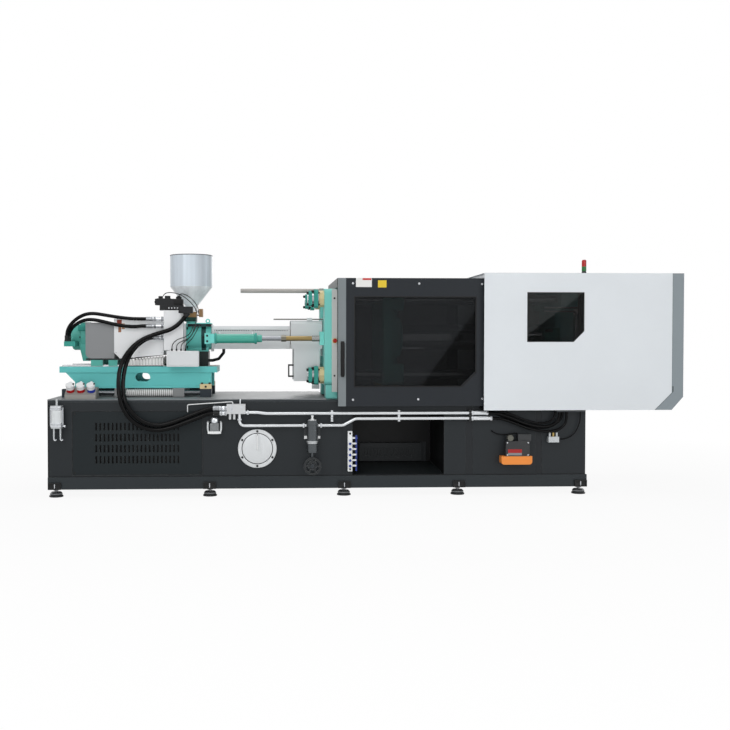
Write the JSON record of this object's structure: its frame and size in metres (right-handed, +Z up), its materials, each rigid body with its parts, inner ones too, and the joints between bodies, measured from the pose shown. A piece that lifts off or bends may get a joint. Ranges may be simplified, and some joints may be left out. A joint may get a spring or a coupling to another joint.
{
  "type": "injection moulding machine",
  "caption": "Horizontal injection moulding machine with a sliding injection carriage and hopper, tie-bar clamp behind sliding gates, and a charcoal base with oil fittings.",
  "frame": {"origin": "on the floor, at the middle of the machine's length and depth", "axes": "+X from the injection end to the clamp end, +Y to the rear, +Z up"},
  "size_m": [5.2, 1.4, 2.019],
  "materials": {
    "dark_paint": "satin",
    "light_grey_paint": "satin",
    "grey_paint": "satin",
    "teal_paint": "satin",
    "cream_paint": "satin",
    "steel": "brushed",
    "polished_steel": "polished",
    "chromed_steel": "polished",
    "smoked_glazing": "gloss",
    "red_plastic": "gloss",
    "blue_plastic": "gloss",
    "black_rubber": "matt"
  },
  "bodies": {
    "machine": {"base_frame": "dark_paint", "base_panels": "dark_paint", "base_tray": "light_grey_paint", "levelling_feet": "steel", "drop_chute": "dark_paint", "tank_cover": "dark_paint", "oil_filter": "dark_paint", "oil_manifold": "light_grey_paint", "oil_pipes": "steel", "front_fittings": "dark_paint", "socket_box": "grey_paint", "pump_set": "teal_paint", "fixed_platen": "teal_paint", "tie_bars": "chromed_steel", "tie_bar_nuts": "cream_paint", "platen_strip": "grey_paint", "tail_platen": "teal_paint", "clamp_cylinder": "teal_paint", "guard_frame": "dark_paint", "cowl_sheets": "light_grey_paint", "cowl_end": "grey_paint", "cowl_window": "smoked_glazing", "beacon": "red_plastic", "unit_supports": "dark_paint", "traverse_rods": "chromed_steel", "main_hose_1": "black_rubber", "main_hose_2": "black_rubber", "motor_hose_1": "black_rubber", "motor_hose_2": "black_rubber", "clamp_hose_1": "black_rubber", "clamp_hose_2": "black_rubber", "lube_tube": "black_rubber"},
    "carriage": {"rod_covers": "steel", "carriage_beam": "teal_paint", "barrel_seat": "teal_paint", "barrel": "steel", "hopper": "polished_steel", "hopper_lid": "steel", "barrel_guard": "light_grey_paint", "unit_cylinders": "teal_paint", "oil_block": "light_grey_paint", "way_bellows": "black_rubber"},
    "drive": {"drive_cover": "grey_paint", "drive_motor": "teal_paint", "drive_panels": "light_grey_paint"},
    "screw": {"screw": "steel"},
    "moving_platen": {"moving_platen": "teal_paint"},
    "ejector": {"ejector": "steel"},
    "front_gate": {"front_gate": "dark_paint", "front_gate_window": "smoked_glazing"},
    "rear_gate": {"rear_gate": "dark_paint", "rear_gate_window": "smoked_glazing"},
    "purge_guard": {"purge_guard": "light_grey_paint"},
    "shutoff_slide": {"shutoff_slide": "dark_paint"},
    "stop_button": {"stop_button": "red_plastic"},
    "valve_wheel": {"valve_wheel": "dark_paint"},
    "socket_lid_1": {"socket_lid_1": "red_plastic"},
    "socket_lid_2": {"socket_lid_2": "red_plastic"},
    "socket_lid_3": {"socket_lid_3": "blue_plastic"},
    "pump_coupling": {"pump_coupling": "steel"}
  },
  "joints": [
    {"name": "carriage_slide", "type": "slide", "parent": "machine", "child": "carriage", "axis": [1, 0, 0], "range_m": [-0.25, 0.03], "deforming": ["main_hose_1", "main_hose_2"]},
    {"name": "drive_slide", "type": "slide", "parent": "carriage", "child": "drive", "axis": [1, 0, 0], "range_m": [-0.2, 0], "deforming": ["way_bellows", "motor_hose_1", "motor_hose_2"]},
    {"name": "screw_turn", "type": "hinge", "parent": "drive", "child": "screw", "pos_m": [-1.5, 0, 1.305], "axis": [1, 0, 0], "continuous": true},
    {"name": "clamp_slide", "type": "slide", "parent": "machine", "child": "moving_platen", "axis": [1, 0, 0], "range_m": [-0.165, 0.3]},
    {"name": "ejector_slide", "type": "slide", "parent": "moving_platen", "child": "ejector", "axis": [-1, 0, 0], "range_m": [0, 0.05]},
    {"name": "front_gate_slide", "type": "slide", "parent": "machine", "child": "front_gate", "axis": [1, 0, 0], "range_m": [0, 0.9]},
    {"name": "rear_gate_slide", "type": "slide", "parent": "machine", "child": "rear_gate", "axis": [1, 0, 0], "range_m": [0, 0.9]},
    {"name": "purge_slide", "type": "slide", "parent": "machine", "child": "purge_guard", "axis": [1, 0, 0], "range_m": [-0.25, 0]},
    {"name": "shutoff", "type": "slide", "parent": "carriage", "child": "shutoff_slide", "axis": [1, 0, 0], "range_m": [0, 0.06]},
    {"name": "stop_press", "type": "slide", "parent": "machine", "child": "stop_button", "axis": [0, 1, 0], "range_m": [0, 0.006], "stiffness_N_per_m": 500},
    {"name": "valve_turn", "type": "hinge", "parent": "machine", "child": "valve_wheel", "pos_m": [-0.452, -0.67, 0.253], "axis": [0, 1, 0], "range_deg": [0, 360]},
    {"name": "socket_lid_1_hinge", "type": "hinge", "parent": "machine", "child": "socket_lid_1", "pos_m": [-2.425, -0.52513, 0.92397], "axis": [-1, 0, 0], "range_deg": [0, 110], "stiffness_Nm_per_rad": 0.05},
    {"name": "socket_lid_2_hinge", "type": "hinge", "parent": "machine", "child": "socket_lid_2", "pos_m": [-2.341, -0.52513, 0.92397], "axis": [-1, 0, 0], "range_deg": [0, 110], "stiffness_Nm_per_rad": 0.05},
    {"name": "socket_lid_3_hinge", "type": "hinge", "parent": "machine", "child": "socket_lid_3", "pos_m": [-2.257, -0.52513, 0.92397], "axis": [-1, 0, 0], "range_deg": [0, 110], "stiffness_Nm_per_rad": 0.05},
    {"name": "coupling_turn", "type": "hinge", "parent": "machine", "child": "pump_coupling", "pos_m": [1.43, 0.1, 0.365], "axis": [1, 0, 0], "continuous": true}
  ]
}
